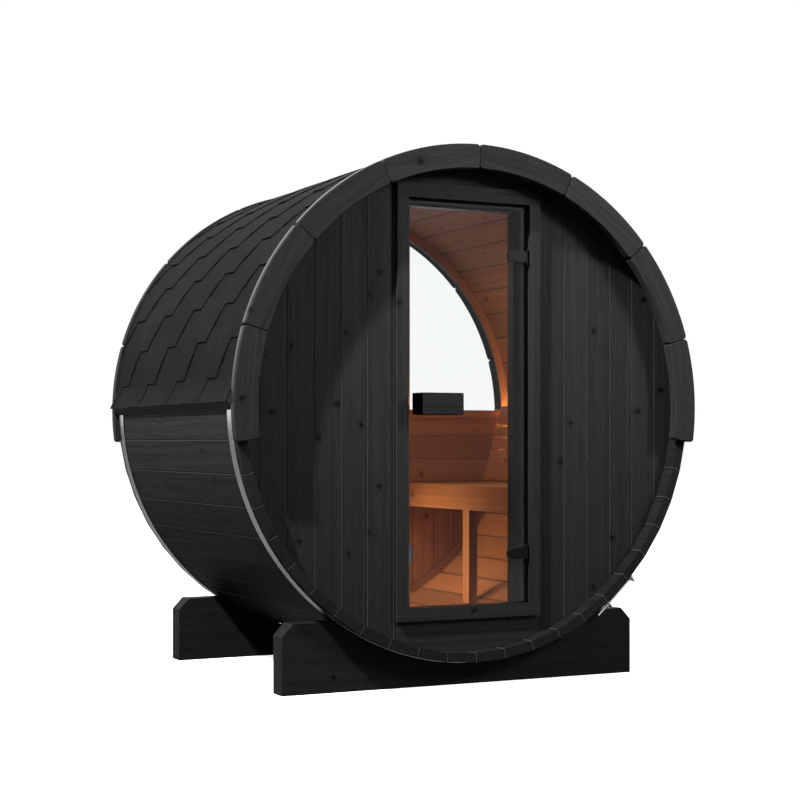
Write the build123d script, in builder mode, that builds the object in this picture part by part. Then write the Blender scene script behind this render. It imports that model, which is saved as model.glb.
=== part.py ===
"""Barrel sauna of dark stained timber: stave shell on two cradles, glass door, half-round rear window.

Millimetres, +Z up, +Y towards the rear. The origin is on the ground under the middle of the barrel.
"""
from build123d import *
from math import asin, cos, degrees, radians, sin, sqrt
import os

os.makedirs("parts", exist_ok=True)

# Barrel shell
stave_length = 1468.0
stave_count = 48
stave_inner_radius = 972.0
stave_thickness = 38.0
stave_groove = 3.0
stave_inner_bevel = 2.0
stave_groups = 8

# Trim blocks nailed to both ends of the staves
trim_thickness = 38.0
trim_width = 96.5
trim_overhang = 18.5
trim_block_count = 8
trim_block_angle = 24.5
trim_joint_gap = 1.0
trim_corner_radius = 14.0
trim_edge_radius = 4.0

# Cradles under the barrel
cradle_width = 1575.0
cradle_under_barrel = 94.3
cradle_seat_rise = 177.7
cradle_thickness = 90.0
cradle_inset = 91.0
cradle_chamfer_width = 45.0
cradle_chamfer_height = 48.0

# Steel bands and their tensioners
band_width = 50.0
band_thickness = 1.5
band_inset = 30.0
lug_past_rod = 14.7
band_gap_upper_angle = -43.0
band_gap_lower_angle = -51.2
rod_diameter = 10.0
rod_standoff = 31.3
rod_overhang_upper = 16.0
rod_overhang_lower = 66.0
nut_across_flats = 17.0
nut_thickness = 8.0
nut_standoff = 1.0
rod_hole_clearance = 1.0

# Roof covering and the eave lath below it
shingle_thickness = 4.0
shingle_clearance = 1.0
lath_projection = 30.0
lath_top_height = 70.0
lath_tip_height = 13.0
lath_foot_height = -22.0

# Front wall boards
wall_thickness = 28.0
front_wall_recess = 64.0
board_pitch = 111.0
board_groove_width = 4.0
board_groove_depth = 2.5
fit_gap = 0.5

# Door frame
frame_width = 644.0
wall_below_frame = 128.5
wall_above_frame = 98.5
frame_face_width = 48.5
frame_head_height = 57.0
frame_sill_height = 52.0
frame_projection = 20.0
frame_depth = 72.0
frame_rebate = 26.0
stop_width_hinge_side = 64.0
stop_width_latch_side = 16.0
stop_height_top = 32.0

# Glass door
door_gap = 6.0
door_gap_hinge_side = 23.5
door_gap_top = 14.0
door_glass_thickness = 8.0
door_glass_setback = 8.0
door_corner_radius = 4.0

# Door hinges
hinge_inset = 195.0
hinge_axis_gap = 11.5
hinge_axis_setback = 5.0
hinge_clamp_length = 84.0
hinge_clamp_height = 44.0
hinge_clamp_front = 5.0
hinge_clamp_back = 4.0
hinge_clamp_nose = 16.0
hinge_barrel_height = 66.0
hinge_barrel_diameter = 8.0
hinge_pin_diameter = 4.0
hinge_pin_clearance = 0.4
hinge_knuckle_height = 22.0
hinge_plate_thickness = 4.0

# Door handle and latch plate
handle_width = 184.0
handle_height = 86.0
handle_depth = 84.0
handle_edge_inset = 13.0
handle_rise = 7.5
handle_edge = 6.0
latch_height = 72.0
latch_width = 26.0
latch_thickness = 5.0
latch_chamfer = 10.0
latch_above_sill = 209.0

# Rear wall and half-round window
rear_ring_width = 40.0
rear_ring_thickness = 36.0
rear_board_setback = 6.0
window_sill_above_axis = 16.0
window_rail_height = 39.0
window_glass_thickness = 6.0
window_groove_depth = 10.0
rear_wall_groove_depth = 2.0
rear_top_board_height = 99.0
rear_upright_shift = 22.0

# Bench and leaning backrest on the right hand side
bench_top_below_axis = 337.0
bench_depth = 495.0
bench_apron_height = 110.0
bench_apron_thickness = 26.0
bench_plank_thickness = 26.0
bench_plank_count = 4
bench_plank_gap = 10.0
bench_end_gap = 2.0
bench_batten_width = 45.0
bench_batten_height = 60.0
post_width = 42.0
post_depth = 58.0
post_front_place = 88.0
post_foot_scribe = 6.0
backrest_thickness = 20.0
backrest_foot_gap = 14.0
backrest_rise = 359.0
backrest_foot_room = 97.0
backrest_head_room = 53.0
backrest_slat_heights = (88.0, 42.0, 40.0, 42.0, 88.0)
backrest_end_gap = 16.0
backrest_support_width = 40.0
backrest_support_thickness = 24.0
backrest_support_inset = 260.0
backrest_bracket_height = 60.0
light_strip_width = 14.0
light_strip_height = 10.0

# Derived places along the length
total_length = stave_length + 2 * trim_thickness
front_end = -total_length / 2
rear_end = total_length / 2
stave_front = front_end + trim_thickness
stave_rear = rear_end - trim_thickness
front_wall_face = stave_front + front_wall_recess
front_wall_back = front_wall_face + wall_thickness
rear_ring_face = stave_rear - rear_ring_thickness
rear_board_face = rear_ring_face + rear_board_setback
stave_outer_radius = stave_inner_radius + stave_thickness
stave_pitch = 360.0 / stave_count
staves_per_group = stave_count // stave_groups
wall_radius = stave_inner_radius - fit_gap
trim_outer_radius = stave_outer_radius + trim_overhang
trim_inner_radius = trim_outer_radius - trim_width

# Derived radius of the barrel's outer corners, where cradles and bands touch it
barrel_seat_radius = stave_outer_radius / cos(radians(stave_pitch / 2)) + fit_gap

# Derived heights above the ground
axis_height = cradle_under_barrel + barrel_seat_radius
cradle_height = cradle_under_barrel + cradle_seat_rise
frame_bottom = axis_height - wall_radius + wall_below_frame
frame_top = axis_height + wall_radius - wall_above_frame
window_sill_height = axis_height + window_sill_above_axis
bench_top = axis_height - bench_top_below_axis
bench_underside = bench_top - bench_plank_thickness
backrest_foot_height = bench_top + backrest_foot_gap
backrest_head_height = backrest_foot_height + backrest_rise


def across(y):
    """Plane at the barrel axis, seen from the front, at the place y along the length."""
    return Plane(origin=(0, y, axis_height), x_dir=(1, 0, 0), z_dir=(0, -1, 0))


def upright(y):
    """Plane seen from the front with its zero on the ground, at the place y along the length."""
    return Plane(origin=(0, y, 0), x_dir=(1, 0, 0), z_dir=(0, -1, 0))


def polar(radius, angle):
    """Point on a circle around the barrel axis, for a plane made by across()."""
    return (radius * cos(radians(angle)), radius * sin(radians(angle)))


def inner_reach(height):
    """Half width of the room inside the staves at a height above the ground."""
    return sqrt(wall_radius ** 2 - (height - axis_height) ** 2)


def finish(part, label):
    """Label a finished piece and write it as its own file."""
    part.label = label
    export_step(part, f"parts/{label}.step")


# Stave shell: wedge-shaped boards with a small bevel along each joint, outside and inside
def stave_points(middle_angle):
    """Corners of one stave's section, with its outer and inner corners bevelled."""
    half = stave_pitch / 2
    corner = stave_outer_radius / cos(radians(half)) - fit_gap
    bevel_angle = degrees(asin(stave_groove / 2 / corner))
    inner_corner = stave_inner_radius / cos(radians(half))
    inner_half = half - degrees(asin(stave_inner_bevel / inner_corner))
    inner_flat = stave_inner_radius / cos(radians(inner_half))
    return [
        polar(inner_flat, middle_angle - inner_half),
        polar(inner_corner + stave_inner_bevel, middle_angle - half),
        polar(corner - stave_groove, middle_angle - half),
        polar(corner, middle_angle - half + bevel_angle),
        polar(corner, middle_angle + half - bevel_angle),
        polar(corner - stave_groove, middle_angle + half),
        polar(inner_corner + stave_inner_bevel, middle_angle + half),
        polar(inner_flat, middle_angle + inner_half),
    ]


for group in range(stave_groups):
    with BuildPart() as staves:
        with BuildSketch(across(stave_rear)):
            for place in range(staves_per_group):
                number = group * staves_per_group + place
                with BuildLine():
                    Polyline(*stave_points(number * stave_pitch + stave_pitch / 2), close=True)
                make_face()
        extrude(amount=stave_length)
    finish(staves.part, f"staves_{group + 1}")


# Trim blocks at both ends
trim_first_angle = 90 - trim_block_angle * trim_block_count / 2
for trim_name, trim_back in (("front_trim", stave_front), ("rear_trim", rear_end)):
    with BuildPart() as trim:
        with BuildSketch(across(trim_back)) as trim_section:
            for block in range(trim_block_count):
                start = trim_first_angle + block * trim_block_angle
                gap_outer = degrees(trim_joint_gap / 2 / trim_outer_radius)
                gap_inner = degrees(trim_joint_gap / 2 / trim_inner_radius)
                with BuildLine():
                    outer_sweep = trim_block_angle - 2 * gap_outer
                    outer_arc = CenterArc((0, 0), trim_outer_radius, start + gap_outer, outer_sweep)
                    inner_sweep = trim_block_angle - 2 * gap_inner
                    inner_arc = CenterArc((0, 0), trim_inner_radius, start + gap_inner, inner_sweep)
                    Line(outer_arc @ 0, inner_arc @ 0)
                    Line(outer_arc @ 1, inner_arc @ 1)
                make_face()
            fillet(trim_section.vertices(), trim_corner_radius)
        extrude(amount=trim_thickness)
        outward = 0 if trim_name == "front_trim" else -1
        fillet(trim.faces().group_by(Axis.Y)[outward].edges(), trim_edge_radius)
    finish(trim.part, trim_name)


# Cradles: thick boards with chamfered shoulders and a seat for the barrel
for cradle_name, cradle_back in (
    ("front_cradle", stave_front + cradle_inset + cradle_thickness),
    ("rear_cradle", stave_rear - cradle_inset),
):
    with BuildPart() as cradle:
        with BuildSketch(upright(cradle_back)):
            with BuildLine():
                Polyline(
                    (-cradle_width / 2, 0),
                    (cradle_width / 2, 0),
                    (cradle_width / 2, cradle_height - cradle_chamfer_height),
                    (cradle_width / 2 - cradle_chamfer_width, cradle_height),
                    (-cradle_width / 2 + cradle_chamfer_width, cradle_height),
                    (-cradle_width / 2, cradle_height - cradle_chamfer_height),
                    close=True,
                )
            make_face()
            with Locations((0, axis_height)):
                Circle(barrel_seat_radius, mode=Mode.SUBTRACT)
        extrude(amount=cradle_thickness)
    finish(cradle.part, cradle_name)


# Steel bands with bent-out lugs, and the threaded rod that draws the lugs together
band_radius = barrel_seat_radius
rod_radius_from_axis = band_radius + rod_standoff
band_lug_height = rod_standoff + lug_past_rod
band_places = (
    ("front", stave_front + band_inset + band_width),
    ("rear", stave_rear - band_inset),
)
upper_point = polar(rod_radius_from_axis, band_gap_upper_angle)
lower_point = polar(rod_radius_from_axis, band_gap_lower_angle)
rod_run = sqrt((upper_point[0] - lower_point[0]) ** 2 + (upper_point[1] - lower_point[1]) ** 2)
rod_length = rod_run + rod_overhang_upper + rod_overhang_lower
rod_direction = (
    (lower_point[0] - upper_point[0]) / rod_run,
    0,
    (lower_point[1] - upper_point[1]) / rod_run,
)
lug_thickness = 2 * band_thickness
band_sweep = 360 + band_gap_lower_angle - band_gap_upper_angle
for band_end, band_back in band_places:
    rod_start = (
        upper_point[0] - rod_direction[0] * rod_overhang_upper,
        band_back - band_width / 2,
        axis_height + upper_point[1] - rod_direction[2] * rod_overhang_upper,
    )
    rod_plane = Plane(origin=rod_start, x_dir=(0, 1, 0), z_dir=rod_direction)
    with BuildPart() as band:
        with BuildSketch(across(band_back)):
            with BuildLine():
                outer = CenterArc((0, 0), band_radius + band_thickness, band_gap_upper_angle, band_sweep)
                inner = CenterArc((0, 0), band_radius, band_gap_upper_angle, band_sweep)
                Line(outer @ 0, inner @ 0)
                Line(outer @ 1, inner @ 1)
            make_face()
            for lug_angle, side in ((band_gap_upper_angle, 1), (band_gap_lower_angle, -1)):
                foot = polar(band_radius, lug_angle)
                tip = polar(band_radius + band_lug_height, lug_angle)
                shift_x = cos(radians(lug_angle + 90)) * side * lug_thickness
                shift_z = sin(radians(lug_angle + 90)) * side * lug_thickness
                with BuildLine():
                    Polyline(
                        foot,
                        tip,
                        (tip[0] + shift_x, tip[1] + shift_z),
                        (foot[0] + shift_x, foot[1] + shift_z),
                        close=True,
                    )
                make_face()
        extrude(amount=band_width)
        with BuildSketch(rod_plane):
            Circle(rod_diameter / 2 + rod_hole_clearance)
        extrude(amount=rod_length, mode=Mode.SUBTRACT)
    finish(band.part, f"{band_end}_band")

    with BuildPart() as rod:
        with BuildSketch(rod_plane):
            Circle(rod_diameter / 2)
        extrude(amount=rod_length)
        nut_places = (
            rod_overhang_upper - nut_thickness - lug_thickness - nut_standoff,
            rod_overhang_upper + rod_run + lug_thickness + nut_standoff,
        )
        for nut_place in nut_places:
            with BuildSketch(rod_plane.offset(nut_place)):
                RegularPolygon(nut_across_flats / 2, 6, major_radius=False)
            extrude(amount=nut_thickness)
    finish(rod.part, f"{band_end}_band_rod")


# Roof covering over the upper half, flared out at the eaves over bevelled laths
roof_inner_radius = band_radius + band_thickness + shingle_clearance
roof_outer_radius = roof_inner_radius + shingle_thickness
lath_tip_x = roof_inner_radius + lath_projection
flare_angle = degrees(asin(lath_top_height / roof_inner_radius))
for side_name, side in (("left", -1), ("right", 1)):
    first_angle = flare_angle if side > 0 else 90
    flare_inner = polar(roof_inner_radius, flare_angle)
    flare_outer = polar(roof_outer_radius, flare_angle)
    with BuildPart() as roof:
        with BuildSketch(across(stave_rear)):
            with BuildLine():
                roof_outer = CenterArc((0, 0), roof_outer_radius, first_angle, 90 - flare_angle)
                roof_inner = CenterArc((0, 0), roof_inner_radius, first_angle, 90 - flare_angle)
                Line(roof_outer @ 0, roof_inner @ 0)
                Line(roof_outer @ 1, roof_inner @ 1)
            make_face()
            with BuildLine():
                Polyline(
                    (side * flare_inner[0], flare_inner[1]),
                    (side * flare_outer[0], flare_outer[1]),
                    (side * (lath_tip_x + shingle_thickness), lath_tip_height),
                    (side * lath_tip_x, lath_tip_height),
                    close=True,
                )
            make_face()
        extrude(amount=stave_length)
    finish(roof.part, f"roof_{side_name}")

    with BuildPart() as lath:
        with BuildSketch(across(stave_rear)):
            with BuildLine():
                Polyline(
                    (side * (roof_inner_radius - fit_gap), lath_top_height - shingle_thickness),
                    (side * (lath_tip_x - fit_gap), lath_tip_height - fit_gap),
                    (side * (roof_inner_radius - fit_gap), lath_foot_height),
                    close=True,
                )
            make_face()
        extrude(amount=stave_length)
    finish(lath.part, f"eave_lath_{side_name}")


# Front wall: boards left and right of the door frame, a header above it and boards below it
half_frame = frame_width / 2
side_grooves = []
groove_place = board_pitch * (int(half_frame // board_pitch) + 1)
while groove_place < wall_radius - board_groove_width:
    side_grooves.append(groove_place)
    groove_place += board_pitch

for side_name, side in (("front_wall_left", -1), ("front_wall_right", 1)):
    with BuildPart() as side_wall:
        with BuildSketch(across(front_wall_back)):
            Circle(wall_radius)
            with Locations((side * (half_frame + fit_gap + wall_radius / 2), 0)):
                Rectangle(wall_radius, 2 * wall_radius, mode=Mode.INTERSECT)
        extrude(amount=wall_thickness)
        with BuildSketch(Plane.XY.offset(axis_height - wall_radius)):
            for groove in side_grooves:
                with BuildLine():
                    Polyline(
                        (side * groove - board_groove_width / 2, front_wall_face - fit_gap),
                        (side * groove + board_groove_width / 2, front_wall_face - fit_gap),
                        (side * groove, front_wall_face + board_groove_depth),
                        close=True,
                    )
                make_face()
        extrude(amount=2 * wall_radius, mode=Mode.SUBTRACT)
    finish(side_wall.part, side_name)

for part_name, low, high in (
    ("front_wall_header", frame_top + fit_gap, axis_height + wall_radius),
    ("front_wall_base", axis_height - wall_radius, frame_bottom - fit_gap),
):
    with BuildPart() as middle_wall:
        with BuildSketch(across(front_wall_back)):
            Circle(wall_radius)
            with Locations((0, (low + high) / 2 - axis_height)):
                Rectangle(frame_width, high - low, mode=Mode.INTERSECT)
        extrude(amount=wall_thickness)
    finish(middle_wall.part, part_name)


# Door frame: two jambs between a head and a sill, each with a stop behind the glass
frame_face = front_wall_face - frame_projection
frame_back = frame_face + frame_depth
stop_face = frame_face + frame_rebate
opening_left = -half_frame + frame_face_width
opening_right = half_frame - frame_face_width
opening_bottom = frame_bottom + frame_sill_height
opening_top = frame_top - frame_head_height

for jamb_name, side, stop_width in (
    ("door_jamb_left", -1, stop_width_latch_side),
    ("door_jamb_right", 1, stop_width_hinge_side),
):
    with BuildPart() as jamb:
        with BuildSketch(Plane.XY.offset(opening_bottom)):
            with BuildLine():
                Polyline(
                    (side * half_frame, frame_face),
                    (side * (half_frame - frame_face_width), frame_face),
                    (side * (half_frame - frame_face_width), stop_face),
                    (side * (half_frame - frame_face_width - stop_width), stop_face),
                    (side * (half_frame - frame_face_width - stop_width), frame_back),
                    (side * half_frame, frame_back),
                    close=True,
                )
            make_face()
        extrude(amount=opening_top - opening_bottom)
    finish(jamb.part, jamb_name)

head_stop_left = opening_left + stop_width_latch_side + fit_gap
head_stop_right = opening_right - stop_width_hinge_side - fit_gap
with BuildPart() as head:
    with BuildSketch(Plane.YZ.offset(-half_frame)):
        with BuildLine():
            Polyline(
                (frame_face, frame_top),
                (frame_face, opening_top),
                (frame_back, opening_top),
                (frame_back, frame_top),
                close=True,
            )
        make_face()
    extrude(amount=frame_width)
    with BuildSketch(Plane.XY.offset(opening_top)):
        with Locations(((head_stop_left + head_stop_right) / 2, (stop_face + frame_back) / 2)):
            Rectangle(head_stop_right - head_stop_left, frame_back - stop_face)
    extrude(amount=-stop_height_top)
finish(head.part, "door_head")

with BuildPart() as sill:
    with BuildSketch(Plane.YZ.offset(-half_frame)):
        with BuildLine():
            Polyline(
                (frame_face, frame_bottom),
                (frame_back, frame_bottom),
                (frame_back, opening_bottom),
                (frame_face, opening_bottom),
                close=True,
            )
        make_face()
    extrude(amount=frame_width)
finish(sill.part, "door_sill")


# Glass door leaf
glass_left = opening_left + door_gap
glass_right = opening_right - door_gap_hinge_side
glass_bottom = opening_bottom + door_gap
glass_top = opening_top - door_gap_top
glass_front = frame_face + door_glass_setback
glass_back = glass_front + door_glass_thickness
with BuildPart() as door_glass:
    with BuildSketch(upright(glass_back)):
        with Locations(((glass_left + glass_right) / 2, (glass_bottom + glass_top) / 2)):
            RectangleRounded(glass_right - glass_left, glass_top - glass_bottom, door_corner_radius)
    extrude(amount=door_glass_thickness)
finish(door_glass.part, "door_glass")


# Hinge clamps on the glass, and the pin brackets on the jamb
hinge_x = opening_right - hinge_axis_gap
hinge_y = frame_face + hinge_axis_setback
hinge_heights = (glass_bottom + hinge_inset, glass_top - hinge_inset)
clamp_end = hinge_x - hinge_pin_diameter
nose_start = clamp_end - hinge_clamp_length + hinge_clamp_nose
filler_thickness = door_glass_thickness + hinge_clamp_back
with BuildPart() as hinge_clamps:
    for height in hinge_heights:
        for clamp_back_face, clamp_thickness in (
            (glass_front, hinge_clamp_front),
            (glass_back + hinge_clamp_back, hinge_clamp_back),
        ):
            with BuildSketch(upright(clamp_back_face)):
                with BuildLine():
                    Polyline(
                        (clamp_end, height - hinge_clamp_height / 2),
                        (clamp_end, height + hinge_clamp_height / 2),
                        (nose_start, height + hinge_clamp_height / 2),
                    )
                    ThreePointArc(
                        (nose_start, height + hinge_clamp_height / 2),
                        (clamp_end - hinge_clamp_length, height),
                        (nose_start, height - hinge_clamp_height / 2),
                    )
                    Line(
                        (nose_start, height - hinge_clamp_height / 2),
                        (clamp_end, height - hinge_clamp_height / 2),
                    )
                make_face()
            extrude(amount=clamp_thickness)
        with BuildSketch(Plane.XY.offset(height - hinge_knuckle_height / 2)):
            with Locations((hinge_x, hinge_y)):
                Circle(hinge_barrel_diameter / 2)
            with BuildLine():
                Polyline(
                    (hinge_x - hinge_pin_diameter, glass_front - hinge_clamp_front),
                    (hinge_x, glass_front - hinge_clamp_front),
                    (hinge_x, glass_front),
                    (hinge_x - hinge_pin_diameter, glass_front),
                    close=True,
                )
            make_face()
            with Locations((hinge_x, hinge_y)):
                Circle(hinge_pin_diameter / 2 + hinge_pin_clearance, mode=Mode.SUBTRACT)
        extrude(amount=hinge_knuckle_height)
        with BuildSketch(Plane.XY.offset(height - hinge_clamp_height / 2)):
            with Locations(((glass_right + clamp_end) / 2, glass_front + filler_thickness / 2)):
                Rectangle(clamp_end - glass_right, filler_thickness)
        extrude(amount=hinge_clamp_height)
finish(hinge_clamps.part, "hinge_clamps")

with BuildPart() as hinge_brackets:
    for height in hinge_heights:
        with BuildSketch(Plane.XY.offset(height - hinge_barrel_height / 2)):
            with Locations((hinge_x, hinge_y)):
                Circle(hinge_barrel_diameter / 2)
            with BuildLine():
                Polyline(
                    (hinge_x, hinge_y),
                    (hinge_x + hinge_barrel_diameter / 2, hinge_y),
                    (hinge_x + hinge_barrel_diameter / 2, stop_face),
                    (hinge_x + hinge_barrel_diameter / 2 - hinge_plate_thickness, stop_face),
                    (hinge_x + hinge_barrel_diameter / 2 - hinge_plate_thickness, hinge_y),
                    close=True,
                )
            make_face()
        extrude(amount=hinge_barrel_height)
        with BuildSketch(Plane.XY.offset(height - hinge_knuckle_height / 2 - fit_gap)):
            with Locations((hinge_x, hinge_y)):
                Circle(hinge_barrel_diameter)
            with Locations((hinge_x, hinge_y)):
                Circle(hinge_pin_diameter / 2, mode=Mode.SUBTRACT)
        extrude(amount=hinge_knuckle_height + 2 * fit_gap, mode=Mode.SUBTRACT)
finish(hinge_brackets.part, "hinge_brackets")


# Block handle on the glass, and the latch plate on the left jamb
handle_left = glass_left + handle_edge_inset
handle_middle = axis_height + handle_rise
with BuildPart() as handle:
    with BuildSketch(upright(glass_front)):
        with Locations((handle_left + handle_width / 2, handle_middle)):
            RectangleRounded(handle_width, handle_height, handle_edge)
    extrude(amount=handle_depth)
    fillet(handle.faces().sort_by(Axis.Y)[0].edges(), handle_edge / 2)
finish(handle.part, "door_handle")

latch_centre = opening_bottom + latch_above_sill
with BuildPart() as latch:
    with BuildSketch(upright(stop_face)):
        with BuildLine():
            Polyline(
                (opening_left, latch_centre - latch_height / 2),
                (opening_left + latch_width - latch_chamfer, latch_centre - latch_height / 2),
                (opening_left + latch_width, latch_centre - latch_height / 2 + latch_chamfer),
                (opening_left + latch_width, latch_centre + latch_height / 2 - latch_chamfer),
                (opening_left + latch_width - latch_chamfer, latch_centre + latch_height / 2),
                (opening_left, latch_centre + latch_height / 2),
                close=True,
            )
        make_face()
    extrude(amount=latch_thickness)
finish(latch.part, "door_latch_plate")


# Rear wall: a ring inside the staves, boards below the window, a rail and the half-round pane
ring_inner_radius = wall_radius - rear_ring_width
sill_level = window_sill_height - axis_height
for ring_name, keep_low, keep_high in (
    ("rear_ring_upper", sill_level, stave_outer_radius),
    ("rear_ring_lower", -stave_outer_radius, sill_level),
):
    with BuildPart() as ring:
        with BuildSketch(across(stave_rear)):
            Circle(wall_radius)
            Circle(ring_inner_radius, mode=Mode.SUBTRACT)
            with Locations((0, (keep_low + keep_high) / 2)):
                Rectangle(2 * stave_outer_radius, keep_high - keep_low, mode=Mode.INTERSECT)
        extrude(amount=rear_ring_thickness)
        if ring_name == "rear_ring_upper":
            pane_middle = (rear_ring_face + stave_rear) / 2
            with BuildSketch(across(pane_middle + window_glass_thickness / 2 + fit_gap)):
                Circle(ring_inner_radius + window_groove_depth + fit_gap)
            extrude(amount=window_glass_thickness + 2 * fit_gap, mode=Mode.SUBTRACT)
    finish(ring.part, ring_name)

board_radius = ring_inner_radius - fit_gap
rail_bottom = sill_level - window_rail_height
with BuildPart() as rear_boards:
    with BuildSketch(across(stave_rear)):
        Circle(board_radius)
        with Locations((0, (rail_bottom - fit_gap - board_radius) / 2)):
            Rectangle(2 * board_radius, board_radius + rail_bottom - fit_gap, mode=Mode.INTERSECT)
    extrude(amount=stave_rear - rear_board_face)
    with BuildSketch(Plane.XY.offset(axis_height - board_radius)):
        rear_groove = -board_pitch * int(board_radius // board_pitch)
        while rear_groove < board_radius:
            with BuildLine():
                Polyline(
                    (rear_groove - board_groove_width / 2, stave_rear + fit_gap),
                    (rear_groove + board_groove_width / 2, stave_rear + fit_gap),
                    (rear_groove, stave_rear - rear_wall_groove_depth),
                    close=True,
                )
            make_face()
            rear_groove += board_pitch
    extrude(amount=board_radius + rail_bottom, mode=Mode.SUBTRACT)
    with BuildSketch(Plane.XY.offset(axis_height - board_radius)):
        inner_groove = rear_upright_shift - board_pitch * int(board_radius // board_pitch)
        while inner_groove < board_radius:
            with BuildLine():
                Polyline(
                    (inner_groove - board_groove_width / 2, rear_board_face - fit_gap),
                    (inner_groove + board_groove_width / 2, rear_board_face - fit_gap),
                    (inner_groove, rear_board_face + rear_wall_groove_depth),
                    close=True,
                )
            make_face()
            inner_groove += board_pitch
    extrude(amount=bench_top - axis_height + board_radius, mode=Mode.SUBTRACT)
    with BuildSketch(Plane.YZ.offset(-board_radius)):
        level_groove = axis_height + rail_bottom - rear_top_board_height
        while level_groove > bench_top:
            with BuildLine():
                Polyline(
                    (rear_board_face - fit_gap, level_groove - board_groove_width / 2),
                    (rear_board_face - fit_gap, level_groove + board_groove_width / 2),
                    (rear_board_face + rear_wall_groove_depth, level_groove),
                    close=True,
                )
            make_face()
            level_groove -= board_pitch
    extrude(amount=2 * board_radius, mode=Mode.SUBTRACT)
finish(rear_boards.part, "rear_wall_boards")

with BuildPart() as rail:
    with BuildSketch(across(stave_rear)):
        Circle(board_radius)
        with Locations((0, (rail_bottom + sill_level) / 2)):
            Rectangle(2 * board_radius, window_rail_height, mode=Mode.INTERSECT)
    extrude(amount=rear_ring_thickness)
finish(rail.part, "window_rail")

with BuildPart() as pane:
    with BuildSketch(across((rear_ring_face + stave_rear + window_glass_thickness) / 2)):
        Circle(ring_inner_radius + window_groove_depth)
        with Locations((0, sill_level + fit_gap + stave_outer_radius / 2)):
            Rectangle(2 * stave_outer_radius, stave_outer_radius, mode=Mode.INTERSECT)
    extrude(amount=window_glass_thickness)
finish(pane.part, "window_glass")


# Bench: planks on battens at both ends and on the apron, with one post in the middle
bench_start = front_wall_back + bench_end_gap
bench_stop = rear_ring_face - bench_end_gap
bench_length = bench_stop - bench_start
bench_front = inner_reach(bench_top) - bench_depth
bench_back = inner_reach(bench_underside) - bench_end_gap
plank_start = bench_front + bench_apron_thickness + fit_gap
plank_room = bench_back - plank_start
plank_width = (plank_room - bench_plank_gap * (bench_plank_count - 1)) / bench_plank_count
with BuildPart() as seat:
    with BuildSketch(upright(bench_stop)):
        for plank in range(bench_plank_count):
            plank_middle = plank_start + plank_width / 2 + plank * (plank_width + bench_plank_gap)
            with Locations((plank_middle, bench_top - bench_plank_thickness / 2)):
                Rectangle(plank_width, bench_plank_thickness)
    extrude(amount=bench_length)
finish(seat.part, "bench_seat")

with BuildPart() as apron:
    with BuildSketch(upright(bench_stop)):
        with Locations((bench_front + bench_apron_thickness / 2, bench_top - bench_apron_height / 2)):
            Rectangle(bench_apron_thickness, bench_apron_height)
    extrude(amount=bench_length)
finish(apron.part, "bench_apron")

batten_bottom = bench_underside - bench_batten_height
batten_start = bench_front + bench_apron_thickness
with BuildPart() as battens:
    for batten_back in (front_wall_back + bench_batten_width, rear_ring_face):
        with BuildSketch(upright(batten_back)):
            with BuildLine():
                Polyline(
                    (batten_start, bench_underside),
                    (batten_start, batten_bottom),
                    (inner_reach(batten_bottom) - bench_end_gap, batten_bottom),
                    (inner_reach(bench_underside) - bench_end_gap, bench_underside),
                    close=True,
                )
            make_face()
        extrude(amount=bench_batten_width)
finish(battens.part, "bench_battens")

apron_bottom = bench_top - bench_apron_height
post_outer_x = bench_front + post_width
post_foot = axis_height - sqrt(stave_inner_radius ** 2 - post_outer_x ** 2) - post_foot_scribe
with BuildPart() as post:
    with BuildSketch(across(post_front_place + post_depth)):
        RegularPolygon(stave_inner_radius, stave_count, major_radius=False)
        with Locations((post_outer_x - post_width / 2, (apron_bottom + post_foot) / 2 - axis_height)):
            Rectangle(post_width, apron_bottom - post_foot, mode=Mode.INTERSECT)
    extrude(amount=post_depth)
finish(post.part, "bench_post")


# Leaning backrest: slats on two brackets between the seat and the staves, a light strip behind the top slat
backrest_foot_x = inner_reach(backrest_foot_height) - backrest_foot_room
backrest_head_x = inner_reach(backrest_head_height) - backrest_head_room
lean_x = backrest_head_x - backrest_foot_x
lean_z = backrest_head_height - backrest_foot_height
lean_length = sqrt(lean_x ** 2 + lean_z ** 2)
slat_gap = (lean_length - sum(backrest_slat_heights)) / (len(backrest_slat_heights) - 1)
back_start = bench_start + backrest_end_gap
back_stop = bench_stop - backrest_end_gap
backrest_plane = Plane(
    origin=(backrest_foot_x, back_stop, backrest_foot_height),
    x_dir=(lean_z / lean_length, 0, -lean_x / lean_length),
    z_dir=(0, -1, 0),
)
with BuildPart() as slats:
    with BuildSketch(backrest_plane):
        slat_bottom = 0.0
        for slat_height in backrest_slat_heights:
            with Locations((backrest_thickness / 2, slat_bottom + slat_height / 2)):
                Rectangle(backrest_thickness, slat_height)
            slat_bottom += slat_height + slat_gap
    extrude(amount=back_stop - back_start)
finish(slats.part, "backrest_slats")

slats_back_x = backrest_foot_x + backrest_thickness * lean_z / lean_length
slats_back_z = backrest_foot_height - backrest_thickness * lean_x / lean_length
lean_slope = lean_x / lean_z
support_step = backrest_support_thickness * lean_length / lean_z
bracket_top = slats_back_z + lean_z - 3 * light_strip_height
bracket_low = bracket_top - backrest_bracket_height
with BuildPart() as supports:
    for support_back in (
        back_start + backrest_support_inset + backrest_support_width,
        back_stop - backrest_support_inset,
    ):
        with BuildSketch(upright(support_back)):
            with BuildLine():
                Polyline(
                    (slats_back_x + (bench_top - slats_back_z) * lean_slope, bench_top),
                    (slats_back_x + (bracket_top - slats_back_z) * lean_slope, bracket_top),
                    (inner_reach(bracket_top), bracket_top),
                    (inner_reach(bracket_low), bracket_low),
                    (slats_back_x + support_step + (bracket_low - slats_back_z) * lean_slope, bracket_low),
                    (slats_back_x + support_step + (bench_top - slats_back_z) * lean_slope, bench_top),
                    close=True,
                )
            make_face()
        extrude(amount=backrest_support_width)
finish(supports.part, "backrest_supports")

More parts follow.
